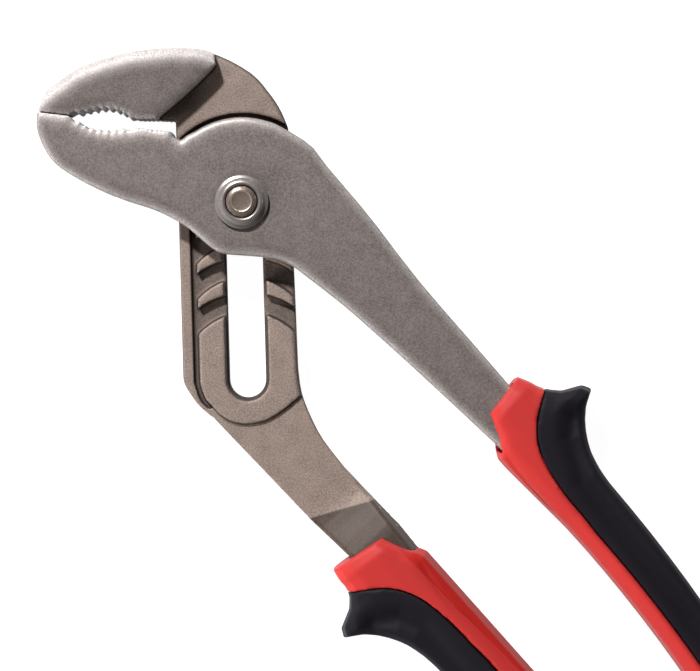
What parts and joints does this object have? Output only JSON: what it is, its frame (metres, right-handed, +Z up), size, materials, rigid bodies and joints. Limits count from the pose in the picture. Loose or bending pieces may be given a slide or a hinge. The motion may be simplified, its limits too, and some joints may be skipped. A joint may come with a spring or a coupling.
{
  "type": "groove-joint pliers",
  "caption": "Groove-joint plumbing pliers with a slotted rear arm, arc grooves and two-colour moulded grips with finger guards.",
  "frame": {"origin": "where the pivot axis meets the flat underside of the bolt head, jaws closed at their smallest setting", "axes": "+Z up the bolt towards its nut, +Y along the slot towards the jaws, +X towards the side that the handles lean to"},
  "size_m": [0.1911, 0.2224, 0.0188],
  "materials": {
    "forged_rear": "forged and sand blasted, brownish, with a ground jaw",
    "forged_front": "satin ground, speckled",
    "bolt_steel": "peened end, satin",
    "nut_steel": "turned, bright rims",
    "red_plastic": "satin moulded plastic",
    "black_rubber": "soft matt overmould"
  },
  "bodies": {
    "upper_arm": {"upper_jaw_arm": "forged_rear", "rear_grip_core": "red_plastic", "rear_grip_cover": "black_rubber"},
    "pivot": {"pivot_bolt": "bolt_steel", "pivot_nut": "nut_steel"},
    "lower_arm": {"lower_jaw_arm": "forged_front", "front_grip_core": "red_plastic", "front_grip_cover": "black_rubber"}
  },
  "joints": [
    {"name": "slot_slide", "type": "slide", "parent": "upper_arm", "child": "pivot", "axis": [0, -1, 0], "range_m": [0, 0.0474]},
    {"name": "jaw_pivot", "type": "hinge", "parent": "pivot", "child": "lower_arm", "pos_m": [0, 0, 0], "axis": [0, 0, 1], "range_deg": [0, 60]}
  ]
}
